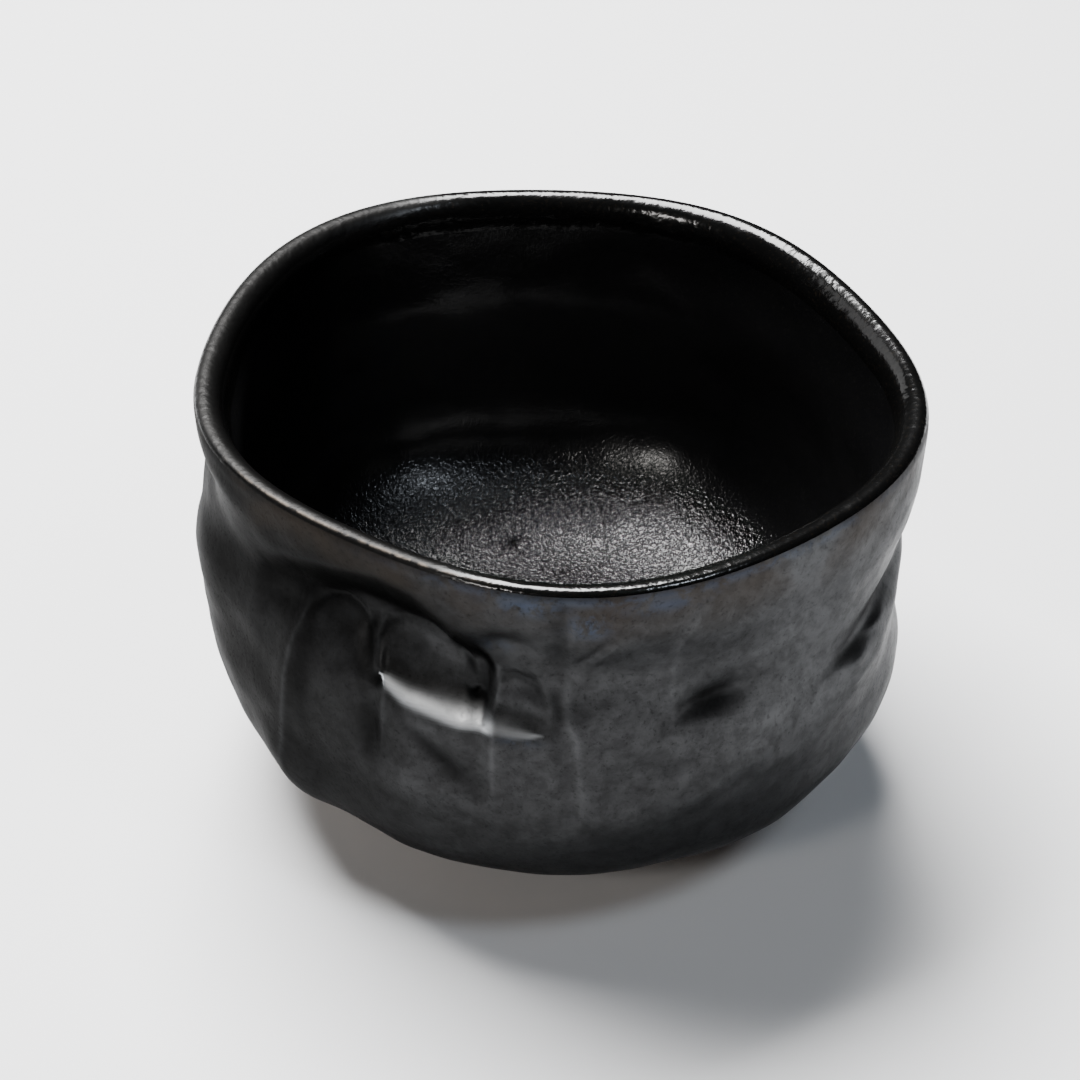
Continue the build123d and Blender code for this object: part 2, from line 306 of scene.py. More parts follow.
# Rows and columns of the meshes: fronts of the coats, their backs on the clay, and the clay itself.
COLUMNS = 640
OUTER_ROWS, OUTER_BACK_ROWS = 124, 30
LIP_ROWS, LIP_BACK_ROWS = 60, 16
INNER_ROWS, INNER_BACK_ROWS = 110, 30
CLAY_ROWS, BASE_ROWS = 150, 26
FINE_COLUMNS_GAIN, FINE_COLUMNS_BEARING, FINE_COLUMNS_HALF = 2.2, -108.0, 42.0
FINE_ROWS_GAIN, FINE_ROWS_HEIGHT, FINE_ROWS_HALF = 1.1, 57.0, 20.0


def smooth(share):
    """3s^2 - 2s^3 of the share, held between 0 and 1."""
    share = np.clip(share, 0, 1)
    return share * share * (3 - 2 * share)


def bump(distance, edge=2):
    """exp of minus the distance to the power of edge: 1 in the middle, near 0 past distance 1.5."""
    return np.exp(-(np.abs(distance) ** edge))


def waves(bearing, height):
    """Plan wave at the belly's radius: an oval of two lobes plus five corners, fading towards the base."""
    share = WAVE_SHARE_AT_BASE + (1 - WAVE_SHARE_AT_BASE) * smooth((height - BASE_HEIGHT) / WAVE_RISE)
    oval = OVAL_WAVE * np.cos(2 * np.radians(bearing - OVAL_BEARING))
    corners = CORNER_WAVE * np.cos(CORNER_COUNT * np.radians(bearing - CORNER_BEARING))
    return share * (oval + corners)


def pressed(bearing, height, presses):
    """Sum of the presses: depth times a bump across times a bump along, fading out below the rim."""
    total = np.zeros(np.broadcast(bearing, height).shape)
    for centre, level, half_bearing, half_height, depth, rise, edge in presses:
        across = (bearing - centre + 180) % 360 - 180
        along = height - level - rise * across
        total += depth * bump(across / half_bearing, edge) * bump(along / half_height, edge)
    return total * smooth((CLAY_HEIGHT - PRESS_FREE_BELOW_RIM - height) / PRESS_FADE)


def eased(distance, ease):
    """The distance where it is above 0 and nothing below it, the corner rounded over a length of ease."""
    return (distance + np.hypot(distance, ease)) / 2


def hollows(bearing, height):
    """How deep the wall goes in under the collar and at the finger dents.

    The undercut deepens evenly below its edge and then keeps its depth down to the dents. A dent
    is its depth times smooth side walls, a slow start from the undercut, and an even ledge at its
    foot. Where the two meet, the deeper one counts, with a soft join.
    """
    edge = np.interp(bearing, UNDERCUT_BEARINGS, UNDERCUT_EDGE)
    reach = np.interp(bearing, UNDERCUT_BEARINGS, UNDERCUT_DEPTH, left=0, right=0)
    rise = eased(edge - height, UNDERCUT_EASE) / UNDERCUT_RISE
    deep = reach * (rise - eased(rise - 1, UNDERCUT_END_EASE))
    deep = deep * smooth((height - UNDERCUT_FADE_FROM) / UNDERCUT_FADE_RUN)
    for left_top, right_top, left_foot, right_foot, start, foot, ledge, depth in FINGER_DENTS:
        up = np.clip((height - foot) / (start - foot), 0, 1)
        left = left_foot + (left_top - left_foot) * up
        right = right_foot + (right_top - right_foot) * up
        across = (bearing - (left + right) / 2) / ((right - left) / 2)
        walls = smooth((bearing - left) / DENT_LEFT_WALL) * smooth((right - bearing) / DENT_RIGHT_WALL)
        upper = smooth((start + DENT_TOP_BOW * (1 - across**2) - height) / DENT_TOP_RUN)
        above = (height - foot - LEDGE_BOW * across**2) / ledge
        shelf = eased(above, LEDGE_EASE) - eased(above - 1, SHELF_EASE)
        dent = depth * walls * upper * shelf
        deep = (deep + dent + np.sqrt((deep - dent) ** 2 + JOIN_EASE)) / 2 - JOIN_DROP
    return np.maximum(deep, 0)


def arch_folds(bearing, height):
    """1 along the arches over the fingertips, 0 elsewhere: a bump across each arch, faded at both ends."""
    total = np.zeros(np.broadcast(bearing, height).shape)
    for arch in ARCHES:
        turns, levels = np.array(arch, float).T
        course = np.interp(bearing, turns, levels)
        steep = np.interp(bearing, turns, np.abs(np.gradient(levels, turns)))
        start = smooth((bearing - turns[0]) / ARCH_FADE + ARCH_END_SHARE)
        end = smooth((turns[-1] - bearing) / ARCH_FADE + ARCH_END_SHARE)
        off = (height - course) / (ARCH_HALF_WIDTH * np.hypot(1, steep))
        total = np.maximum(total, start * end * bump(off))
    return total


def beside(path, bearing, height, run_in, start_share):
    """Degrees to the right of a crease's path, and a share that fades at its lower and upper ends."""
    levels, turns = np.array(path, float).T
    lower = smooth((height - levels[0]) / run_in + start_share)
    upper = smooth((levels[-1] - height) / CREASE_RUN_OUT + start_share)
    return bearing - np.interp(height, levels, turns), lower * upper


def finger_marks(bearing, height):
    """Fine relief of the outside, outwards positive: minus hollows and fine presses, plus the creases.

    A crease is a bump across its path with its own width on each side, faded at both ends, and a
    thin bead beside it. Over each fingertip runs a fine fold.
    """
    relief = -pressed(bearing, height, FINE_PRESSES) - hollows(bearing, height)
    for path, web, left_width, right_width, bead in CREASES:
        off, ends = beside(path, bearing, height, 6, 0.1)
        width = np.where(off < 0, left_width, right_width)
        thread = bump((off - BEAD_PLACE * right_width) / BEAD_HALF_WIDTH)
        relief += ends * (web * bump(off / width) + bead * thread)
    return relief - ARCH_DEPTH * arch_folds(bearing, height)


def hand_lumps(bearing, height):
    """Slow unevenness of a few tenths of a millimetre: five sine products of bearing and height."""
    turn = np.radians(bearing)
    total = 0.16 * np.sin(7 * turn + 0.11 * height + 1.0) * np.sin(0.17 * height + 2 * turn)
    total += 0.12 * np.sin(13 * turn - 0.21 * height + 2.2) * np.sin(0.27 * height + 0.5)
    total += 0.07 * np.sin(23 * turn + 0.33 * height) * np.sin(0.41 * height - 3 * turn + 1.3)
    total += 0.05 * np.sin(37 * turn - 0.5 * height + 0.7) * np.sin(0.6 * height + 5 * turn)
    total += 0.10 * np.sin(4 * turn - 0.35 * height)
    return total


def outer_radius(height):
    """Mean radius of the outside above the belly: a straight run in to the rim minus the waist's bump."""
    up = (height - BELLY_HEIGHT) / (CLAY_HEIGHT - BELLY_HEIGHT)
    waist = WAIST_DEPTH * bump((height - WAIST_HEIGHT) / WAIST_HALF_HEIGHT)
    return BELLY_RADIUS + (RIM_RADIUS - BELLY_RADIUS) * up - waist


def inner_radius(height):
    """Mean radius of the inside above the inner belly: the wall thins evenly to the lip's width."""
    up = (height - INNER_BELLY_HEIGHT) / (CLAY_HEIGHT - LIP_INNER_HEIGHT - INNER_BELLY_HEIGHT)
    return outer_radius(height) - WALL_AT_BELLY - (LIP_OUTER_WIDTH + LIP_INNER_WIDTH - WALL_AT_BELLY) * up


def quarter(fullness, turn):
    """Quarter superellipse of unit size, from (0, 1) at turn 0 to (1, 0) at turn 1."""
    angle = turn * np.pi / 2
    return np.sin(angle) ** (2 / fullness), np.abs(np.cos(angle)) ** (2 / fullness)


def run_of(radius, height, press_share=1.0, mark_share=1.0):
    """One run of the section: its radii and heights, with the shares of the presses and of the marks."""
    ones = np.ones_like(height)
    return np.array([radius, height, press_share * ones, mark_share * ones])


def clay_meridian():
    """The clay's section: rows of mean radius, height, press share and mark share.

    From the base to the floor's middle: belly quarter, straight wall with its waist, a tight
    superellipse quarter up to the top of the lip, a broader one down into the bowl, inner wall,
    inner quarter to the well, and a shallow pool whose depth is a smooth step.
    """
    lip_start = CLAY_HEIGHT - LIP_OUTER_HEIGHT
    lip_end = CLAY_HEIGHT - LIP_INNER_HEIGHT
    peak = outer_radius(lip_start) - LIP_OUTER_WIDTH

    out, down = quarter(BELLY_FULLNESS, np.linspace(0, 1, 240, endpoint=False))
    belly = run_of(BASE_RADIUS + (outer_radius(BELLY_HEIGHT) - BASE_RADIUS) * out,
                   BELLY_HEIGHT - (BELLY_HEIGHT - BASE_HEIGHT) * down)
    level = np.linspace(BELLY_HEIGHT, lip_start, 200, endpoint=False)
    wall = run_of(outer_radius(level), level)
    side, up = quarter(LIP_OUTER_FULLNESS, np.linspace(1, 0, 61))
    lip_out = run_of(peak + LIP_OUTER_WIDTH * side, lip_start + LIP_OUTER_HEIGHT * up, 0.0)

    inward = np.linspace(0, 1, 81)[1:]
    side, up = quarter(LIP_INNER_FULLNESS, inward)
    grown = np.linspace(0, 1, len(inward))
    lip_in = run_of(peak - (peak - inner_radius(lip_end)) * side, lip_end + LIP_INNER_HEIGHT * up,
                    INNER_PRESS_SHARE * grown, INNER_MARK_SHARE * grown)
    level = np.linspace(lip_end, INNER_BELLY_HEIGHT, 161)[1:]
    inside = run_of(inner_radius(level), level, INNER_PRESS_SHARE, INNER_MARK_SHARE)
    out, down = quarter(INNER_FULLNESS, 1 - np.linspace(0, 1, 161)[1:])
    faded = smooth((out - WELL_FADE_FROM) / WELL_FADE_RUN)
    well = run_of(WELL_RADIUS + (inner_radius(INNER_BELLY_HEIGHT) - WELL_RADIUS) * out,
                  INNER_BELLY_HEIGHT - (INNER_BELLY_HEIGHT - WELL_HEIGHT) * down,
                  INNER_PRESS_SHARE * faded, INNER_MARK_SHARE * faded)
    radius = np.linspace(WELL_RADIUS, 0, 81)[1:]
    pool = POOL_DEPTH * smooth((WELL_RADIUS - radius) / (WELL_RADIUS - POOL_RADIUS))
    floor = run_of(radius, WELL_HEIGHT - pool, 0.0, 0.0)
    return np.concatenate([belly, wall, lip_out, lip_in, inside, well, floor], axis=1)


def coated(meridian, coat):
    """The section moved square to itself, outwards positive: position plus coat times the normal."""
    run, rise = np.gradient(meridian[0]), np.gradient(meridian[1])
    length = np.hypot(run, rise)
    moved = [meridian[0] + coat * rise / length, meridian[1] - coat * run / length]
    return np.array(moved + [meridian[2], meridian[3]])


def arc_length(meridian):
    """Running length along the section."""
    steps = np.hypot(np.diff(meridian[0]), np.diff(meridian[1]))
    return np.concatenate([[0], np.cumsum(steps)])


def spaced(section, start, end, rows, crowd=None):
    """Places between two places of the section, even in running length or closer where crowd is large.

    crowd is a function of height. A place is a row number of the section with a fraction. Start and
    end may differ from bearing to bearing, and the result has a row for each step and a column for
    each bearing.
    """
    run = arc_length(section)
    number = np.arange(len(run))
    middle = np.linspace(np.mean(start), np.mean(end), 3000)
    height = np.interp(middle, number, section[1])
    step = np.gradient(np.interp(middle, number, run)) * (1 if crowd is None else crowd(height))
    share = np.concatenate([[0], np.cumsum((step[1:] + step[:-1]) / 2)])
    chosen = np.interp(np.linspace(0, 1, rows), share / share[-1], np.linspace(0, 1, len(middle)))
    first, last = np.atleast_1d(start)[None, :], np.atleast_1d(end)[None, :]
    return first + (last - first) * chosen[:, None]


def section_at(section, places):
    """Mean radius, height, press share and mark share at fractional rows of a section."""
    number = np.arange(section.shape[1])
    return [np.interp(places, number, part) for part in section]


def bearings(columns):
    """Bearings of the columns, three times as close together at the finger dents as at the back."""
    fine = np.linspace(-270, 90, 7201)
    density = 1 + FINE_COLUMNS_GAIN * bump((fine - FINE_COLUMNS_BEARING) / FINE_COLUMNS_HALF, 4)
    share = np.concatenate([[0], np.cumsum((density[1:] + density[:-1]) / 2)])
    return np.interp(np.arange(columns) / columns * share[-1], share, fine)


def wall_points(section, places, bearing):
    """Points of the wall: radius + waves - share * presses + fine relief, round the shifted axis.

    Outside, the fine relief is the finger marks and the slow lumps. Inside, it is a share of the
    hollows and half of the lumps, which are elsewhere and die out towards the middle of the floor.
    """
    radius, height, share, marks = section_at(section, places)
    fade = smooth((CLAY_HEIGHT + GLAZE - height) / LIP_CALM)
    outside = hand_lumps(bearing, height) + finger_marks(bearing, height)
    inside = LUMPS_INSIDE * smooth(radius / 30) * hand_lumps(bearing + 40, height)
    inside = inside - marks * hollows(bearing, height)
    relief = np.where(places <= top, outside, inside)
    reach = radius + waves(bearing, height) * radius / BELLY_RADIUS
    reach = reach - share * pressed(bearing, height, PRESSES) + fade * relief
    turn = np.radians(bearing)
    x = WALL_SHIFT[0] + reach * np.cos(turn)
    y = WALL_SHIFT[1] + reach * np.sin(turn)
    return np.stack([x, y, np.broadcast_to(height, x.shape)], axis=-1)


def make_piece(name, grid, loop_rows=False, masks=None, sharp_angle=50):
    """A closed mesh from a grid of points in millimetres, where every row is a closed ring.

    With loop_rows the last row joins the first. Without it both ends are closed by a fan on the
    mean point of the ring. Faces are turned outwards by the sign of the enclosed volume. masks are
    named values on the grid, for the materials: 0 is none, and 1 or more is full.
    """
    rows, columns = grid.shape[:2]
    index = np.arange(rows * columns).reshape(rows, columns)
    below, above = (index, np.roll(index, -1, 0)) if loop_rows else (index[:-1], index[1:])
    quads = np.stack([below, np.roll(below, -1, 1), np.roll(above, -1, 1), above], axis=-1).reshape(-1, 4)
    points = grid.reshape(-1, 3)
    corner = points[quads]
    side = np.cross(corner[:, 2] - corner[:, 0], corner[:, 3] - corner[:, 1])
    if np.sum(side * corner.mean(axis=1)) < 0:
        quads = quads[:, ::-1]
    faces = quads.tolist()
    if not loop_rows:
        points = np.concatenate([points, [grid[0].mean(axis=0), grid[-1].mean(axis=0)]])
        first, last = len(points) - 2, len(points) - 1
        start = np.stack([np.roll(index[0], -1), index[0], np.full(columns, first)], axis=-1)
        end = np.stack([index[-1], np.roll(index[-1], -1), np.full(columns, last)], axis=-1)
        if quads[0, 0] != index[0, 0] or quads[0, 1] != index[0, 1]:
            start, end = start[:, ::-1], end[:, ::-1]
        faces += start.tolist() + end.tolist()
    mesh = bpy.data.meshes.new(name)
    mesh.from_pydata((points * MM).tolist(), [], faces)
    mesh.polygons.foreach_set("use_smooth", np.ones(len(faces), dtype=bool))
    for mask, values in (masks or {}).items():
        layer = mesh.attributes.new(mask, "FLOAT", "POINT")
        padded = np.zeros(len(points))
        padded[:values.size] = values.ravel()
        layer.data.foreach_set("value", padded.astype(np.float32))
    mesh.set_sharp_from_angle(angle=math.radians(sharp_angle))
    mesh.update()
    piece = bpy.data.objects.new(name, mesh)
    scene.collection.objects.link(piece)
    return piece


def finish_piece(piece, node, material):
    """Puts the material on, attaches the piece to the root body, and hides the imported part that it
    replaces.
    """
    piece.data.materials.append(material)
    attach(piece, "root")
    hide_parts(node)


# ---- shader node groups ----
def value_socket(group, name, kind, default=None, out=False):
    """Adds one named input or output to a node group."""
    socket = group.interface.new_socket(name=name, in_out="OUTPUT" if out else "INPUT", socket_type=kind)
    if default is not None:
        socket.default_value = default


class Nodes:
    """Short ways to add and join nodes in one tree."""

    def __init__(self, tree):
        self.tree = tree

    def add(self, kind, inputs=(), **settings):
        node = self.tree.nodes.new(kind)
        for key, value in settings.items():
            setattr(node, key, value)
        for key, value in dict(inputs).items():
            self.put(node.inputs[key], value)
        return node

    def put(self, socket, value):
        if isinstance(value, bpy.types.NodeSocket):
            self.tree.links.new(value, socket)
        elif isinstance(value, bpy.types.Node):
            self.tree.links.new(value.outputs[0], socket)
        else:
            socket.default_value = value

    def math(self, operation, a, b=0.0, c=0.0):
        return self.add("ShaderNodeMath", {0: a, 1: b, 2: c}, operation=operation).outputs[0]

    def times(self, a, b):
        return self.math("MULTIPLY", a, b)

    def plus(self, value, gain, base):
        """The value times gain, plus base."""
        return self.math("MULTIPLY_ADD", value, gain, base)

    def ramp(self, value, low, high, to_low=0.0, to_high=1.0):
        """Smooth step of a value from low to high."""
        ends = {"Value": value, "From Min": low, "From Max": high, "To Min": to_low, "To Max": to_high}
        return self.add("ShaderNodeMapRange", ends, interpolation_type="SMOOTHSTEP").outputs["Result"]

    def mix(self, share, a, b):
        node = self.add("ShaderNodeMix", data_type="RGBA")
        for socket, value in zip((node.inputs[0], node.inputs[6], node.inputs[7]), (share, a, b)):
            self.put(socket, value)
        return node.outputs[2]

    def noise(self, vector, scale, detail, rough, distort=0.0):
        shape = {"Scale": scale, "Detail": detail, "Roughness": rough, "Distortion": distort}
        return self.add("ShaderNodeTexNoise", {"Vector": vector, **shape}).outputs["Fac"]

    def relief(self, level, strength, distance):
        """A normal bent by a height."""
        return self.add("ShaderNodeBump", {"Height": level, "Strength": strength, "Distance": distance})


def new_group(name, inputs, outputs):
    """An empty shader node group with named sockets, as (group, input node, output node, Nodes)."""
    group = bpy.data.node_groups.new(name, "ShaderNodeTree")
    for socket, kind, default in inputs:
        value_socket(group, socket, kind, default)
    for socket, kind in outputs:
        value_socket(group, socket, kind, out=True)
    nodes = Nodes(group)
    return group, nodes.add("NodeGroupInput"), nodes.add("NodeGroupOutput"), nodes


FLOAT, VECTOR = "NodeSocketFloat", "NodeSocketVector"


def leather_skin_group():
    """Height of a glaze that crawled into a leathery skin: flat-topped worms over finer ones."""
    group, given, out, n = new_group(
        "leather_skin", [("Vector", VECTOR, None), ("Worm Scale", FLOAT, 1100.0)], [("Height", FLOAT)])
    worms = n.noise(given.outputs["Vector"], given.outputs["Worm Scale"], 1.0, 0.4, 0.8)
    fine_scale = n.times(given.outputs["Worm Scale"], 2.1)
    fine = n.noise(given.outputs["Vector"], fine_scale, 1.0, 0.5, 0.4)
    height = n.plus(n.ramp(fine, 0.35, 0.65), 0.3, n.ramp(worms, 0.36, 0.62))
    n.put(out.inputs["Height"], height)
    return group


def fired_grain_group():
    """What the kiln leaves on any glaze: slow clouding, fine specks, and a fine orange-peel height."""
    group, given, out, n = new_group(
        "fired_grain",
        [("Vector", VECTOR, None), ("Cloud Scale", FLOAT, 60.0), ("Speck Scale", FLOAT, 1800.0)],
        [("Cloud", FLOAT), ("Specks", FLOAT), ("Peel", FLOAT)])
    cloud = n.noise(given.outputs["Vector"], given.outputs["Cloud Scale"], 4.0, 0.55, 0.4)
    specks = n.noise(given.outputs["Vector"], given.outputs["Speck Scale"], 2.0, 0.6)
    peel = n.noise(given.outputs["Vector"], 520.0, 2.0, 0.5, 0.3)
    n.put(out.inputs["Cloud"], cloud)
    n.put(out.inputs["Specks"], n.ramp(specks, 0.56, 0.72))
    n.put(out.inputs["Peel"], peel)
    return group


leather_skin = leather_skin_group()
fired_grain = fired_grain_group()


def new_material(name):
    """A material with a Principled shader, as (material, shader, Nodes, object coordinates, height)."""
    material = bpy.data.materials.new(name)
    material.use_nodes = True
    material.node_tree.nodes.clear()
    n = Nodes(material.node_tree)
    shader = n.add("ShaderNodeBsdfPrincipled")
    n.add("ShaderNodeOutputMaterial", {"Surface": shader.outputs[0]})
    place = n.add("ShaderNodeTexCoord").outputs["Object"]
    height = n.add("ShaderNodeSeparateXYZ", {0: place}).outputs["Z"]
    return material, shader, n, place, height


def grain(n, place, cloud, speck):
    """The fired_grain group placed in a material."""
    node = n.add("ShaderNodeGroup", node_tree=fired_grain)
    n.put(node.inputs["Vector"], place)
    n.put(node.inputs["Cloud Scale"], cloud)
    n.put(node.inputs["Speck Scale"], speck)
    return node.outputs


def mask(n, name):
    """A named value stored on the piece."""
    return n.add("ShaderNodeAttribute", attribute_name=name).outputs["Fac"]


def pewter_glaze():
    """Dark satin glaze with a pewter share and painted light, a painted highlight on the ledges, painted
    shade in the hollows, blue haze and rim brown.
    """
    material, shader, n, place, height = new_material("pewter_glaze")
    kiln = grain(n, place, 55.0, 1500.0)
    mottle = n.noise(place, 330.0, 6.0, 0.7, 0.3)
    broken = n.noise(place, 260.0, 5.0, 0.65, 0.4)
    # pool is the painted highlight on the ledges.
    pool = mask(n, "pool")
    # The pewter mask also carries painted light and painted highlights.
    share = n.times(mask(n, "pewter"), n.ramp(kiln["Cloud"], 0.2, 0.75, 0.8, 1.1))
    share = n.times(share, n.ramp(mottle, 0.3, 0.7, 0.7, 1.25))
    brown = n.times(n.ramp(height, BROWN_FROM, BROWN_FULL), n.ramp(kiln["Cloud"], 0.65, 0.35))
    haze = n.times(mask(n, "haze"), n.ramp(broken, 0.42, 0.56))

    color = n.mix(share, TAR, PEWTER)
    color = n.mix(n.times(brown, 0.5), color, RIM_BROWN)
    color = n.mix(n.times(haze, 0.6), color, MILKY_BLUE)
    color = n.mix(n.times(kiln["Specks"], 0.3), color, DARK_SPECK)
    # Painted shade: the deep mask paints the hollows and the undercut black.
    color = n.mix(n.times(mask(n, "deep"), 0.95), color, PAINTED_SHADE_BLACK)
    n.put(shader.inputs["Base Color"], n.mix(pool, color, PAINTED_HIGHLIGHT_GLOSS))
    shader.inputs["Metallic"].default_value = 0.9
    shader.inputs["Specular IOR Level"].default_value = 0.1
    shader.inputs["Specular Tint"].default_value = (0.5, 0.5, 0.5, 1)
    rough = n.plus(kiln["Cloud"], 0.14, 0.27)
    rough = n.plus(n.math("SUBTRACT", 1.0, share), 0.16, rough)
    rough = n.plus(pool, -0.06, rough)
    n.put(shader.inputs["Roughness"], n.plus(kiln["Specks"], 0.1, rough))
    n.put(shader.inputs["Normal"], n.relief(n.plus(mottle, 0.6, kiln["Peel"]), 0.2, 0.0003))
    return material


def gloss_glaze():
    """Black gloss on the lip, dull pewter where it is satin, and tan where it broke over the corner."""
    material, shader, n, place, _ = new_material("gloss_glaze")
    kiln = grain(n, place, 90.0, 1700.0)
    broken = n.noise(place, 420.0, 4.0, 0.7, 0.3)
    satin = mask(n, "satin")
    tan = n.times(mask(n, "tan"), n.ramp(broken, 0.40, 0.56))
    crack = n.times(mask(n, "crack"), n.ramp(broken, 0.62, 0.5))

    color = n.mix(n.times(kiln["Specks"], 0.4), GLOSS_BLACK, GLOSS_SPECK)
    color = n.mix(satin, color, SATIN_GREY)
    color = n.mix(tan, color, BROKEN_TAN)
    n.put(shader.inputs["Base Color"], n.mix(crack, color, CRACK_BLACK))
    metal = n.ramp(satin, 0.0, 0.35, 0.0, 0.9)
    n.put(shader.inputs["Metallic"], n.times(metal, n.plus(tan, -0.5, 1.0)))
    rough = n.plus(metal, 0.25, n.plus(kiln["Cloud"], 0.14, 0.09))
    n.put(shader.inputs["Roughness"], n.plus(tan, 0.1, rough))
    n.put(shader.inputs["Normal"], n.relief(kiln["Peel"], 0.45, 0.0003))
    return material


def scar_relief(n, place):
    """Height of the floor's scar: rays that die out from the crater, as (rays, crater)."""
    aside = n.add("ShaderNodeVectorMath", {0: place, 1: SCAR}, operation="SUBTRACT").outputs[0]
    away = n.add("ShaderNodeVectorMath", {0: aside}, operation="LENGTH").outputs["Value"]
    parts = n.add("ShaderNodeSeparateXYZ", {0: aside})
    turn = n.math("ARCTAN2", parts.outputs["Y"], parts.outputs["X"])
    fade = n.times(n.ramp(away, SCAR_REACH, SCAR_RIM), n.ramp(away, SCAR_CORE, SCAR_RIM))
    rays = n.times(n.math("SINE", n.times(turn, SCAR_RAYS)), fade)
    return rays, n.ramp(away, SCAR_CRATER, SCAR_CORE, 0.0, SCAR_DEPTH)


def leather_glaze():
    """Black satin glaze inside, with its leathery skin strongest on the floor."""
    material, shader, n, place, height = new_material("leather_glaze")
    kiln = grain(n, place, 70.0, 1500.0)
    skin = n.add("ShaderNodeGroup", node_tree=leather_skin)
    n.put(skin.inputs["Vector"], place)
    skin.inputs["Worm Scale"].default_value = 1250.0
    n.put(shader.inputs["Base Color"], n.mix(n.times(kiln["Specks"], 0.3), LEATHER_BLACK, LEATHER_SPECK))
    n.put(shader.inputs["Roughness"], n.plus(kiln["Cloud"], 0.10, 0.17))
    low = n.ramp(height, WRINKLES_FROM, WRINKLES_FULL)
    level = n.times(skin.outputs["Height"], n.plus(low, 0.9, 0.1))
    rays, crater = scar_relief(n, place)
    level = n.math("ADD", n.plus(rays, 0.7, level), crater)
    n.put(shader.inputs["Normal"], n.relief(level, 0.6, 0.0002))
    return material


def bare_clay(name, light, dark):
    """Fired stoneware left bare: two browns in clouds, dark grit, and a dry, sandy height."""
    material, shader, n, place, _ = new_material(name)
    kiln = grain(n, place, 110.0, 1300.0)
    color = n.mix(n.ramp(kiln["Cloud"], 0.3, 0.7), light, dark)
    n.put(shader.inputs["Base Color"], n.mix(n.times(kiln["Specks"], 0.6), color, CLAY_GRIT))
    n.put(shader.inputs["Roughness"], n.plus(kiln["Cloud"], 0.15, 0.7))
    sand = n.noise(place, 2200.0, 4.0, 0.7)
    n.put(shader.inputs["Normal"], n.relief(n.plus(kiln["Specks"], -0.5, sand), 0.5, 0.0003))
    return material


pewter = pewter_glaze()
gloss = gloss_glaze()
leather = leather_glaze()
stoneware = bare_clay("bare_stoneware", (0.13, 0.09, 0.065, 1), (0.07, 0.05, 0.038, 1))
slip = bare_clay("fired_slip", (0.10, 0.072, 0.055, 1), (0.06, 0.045, 0.035, 1))

# ---- the pieces ----
columns = bearings(COLUMNS)
clay = clay_meridian()
glazed = coated(clay, GLAZE)
number = np.arange(clay.shape[1])
top = int(np.argmax(glazed[1]))


def place_outside(height):
    """The place where the glazed section reaches a height, on the outside."""
    return np.interp(height, glazed[1][:top], number[:top])


def place_inside(height):
    """The place where the glazed section reaches a height, on the inside."""
    return np.interp(-np.asarray(height), -glazed[1][top:], number[top:])


turn = np.radians(columns)
ragged = 0.7 * np.sin(3 * turn + 0.5) + 0.5 * np.sin(7 * turn) + 0.25 * np.sin(17 * turn + 1)
glaze_edge = place_outside(GLAZE_LINE + ragged)
outer_seam = np.full(COLUMNS, place_outside(LIP_COAT_OUTSIDE))
inner_seam = np.full(COLUMNS, place_inside(LIP_COAT_INSIDE))


def coat(name, start, end, rows, back_rows, crowd=None, rules=None):
    """A closed coat: its front rows, then its back on the clay in reverse, joined at both edges."""
    front = spaced(glazed, start, end, rows, crowd)
    back = spaced(glazed, start, end, back_rows, crowd)[::-1]
    grid = np.concatenate([wall_points(glazed, front, columns), wall_points(clay, back, columns)])
    places = np.concatenate([front, back])
    masks = {key: rule(columns[None, :], places) for key, rule in (rules or {}).items()}
    return make_piece(name, grid, loop_rows=True, masks=masks)


def crowd_at_dents(height):
    """Rows lie twice as close together over the height of the finger dents."""
    return 1 + FINE_ROWS_GAIN * bump((height - FINE_ROWS_HEIGHT) / FINE_ROWS_HALF, 4)


def height_at(places):
    """Height of the glazed section at some places."""
    return section_at(glazed, places)[1]


def patches(table, bearing, height):
    """The strongest of some soft oval patches at each place."""
    total = np.zeros(np.broadcast(bearing, height).shape)
    for centre, level, half_bearing, half_height, share, rise in table:
        across = bearing - centre
        along = height - level - rise * across
        total = np.maximum(total, share * bump(across / half_bearing) * bump(along / half_height))
    return total


def pewter_and_light_rule(bearing, places):
    """The silvery share of the outer glaze: little on the left, full on the right, plus a painted
    highlight along the ridges and painted light patches.
    """
    height = height_at(places)
    share = np.interp(bearing, PEWTER_BEARINGS, PEWTER_SHARES) + 0 * places
    for path, web, _, right_width, _ in CREASES:
        off, ends = beside(path, bearing, height, 8, 0)
        ridge = 0 if web > 0 else BEAD_PLACE * right_width
        share = share + RIDGE_PEWTER_AND_HIGHLIGHT * ends * bump((off - ridge) / RIDGE_HALF_WIDTH)
    return share + patches(PAINTED_LIGHT_PATCHES, bearing, height)


def ledge_highlight_rule(bearing, places):
    """Painted highlight on the ledge: where the hollows deepen upwards, along the crescent."""
    height = height_at(places)
    slope = hollows(bearing, height + 0.5) - hollows(bearing, height - 0.5)
    middle = np.interp(bearing, HIGHLIGHT_BEARINGS, HIGHLIGHT_HEIGHTS)
    half = np.interp(bearing, HIGHLIGHT_BEARINGS, HIGHLIGHT_HALF_HEIGHTS)
    shelf = smooth((slope - HIGHLIGHT_SLOPE_FROM) / HIGHLIGHT_SLOPE_RUN)
    return (shelf * bump((height - middle) / half)) ** 2 * (half > min(HIGHLIGHT_HALF_HEIGHTS))


def painted_shade_rule(bearing, places):
    """Painted shade, black where the wall lies in shade: under overhangs, by the slope of the hollows, and
    in patches.
    """
    height = height_at(places)
    slope = (hollows(bearing, height - 1) - hollows(bearing, height + 1)) / 2
    total = np.maximum(smooth(slope / SHADE_SLOPE), ARCH_SHADE * arch_folds(bearing, height))
    return np.maximum(total, patches(PAINTED_SHADE_PATCHES, bearing, height))


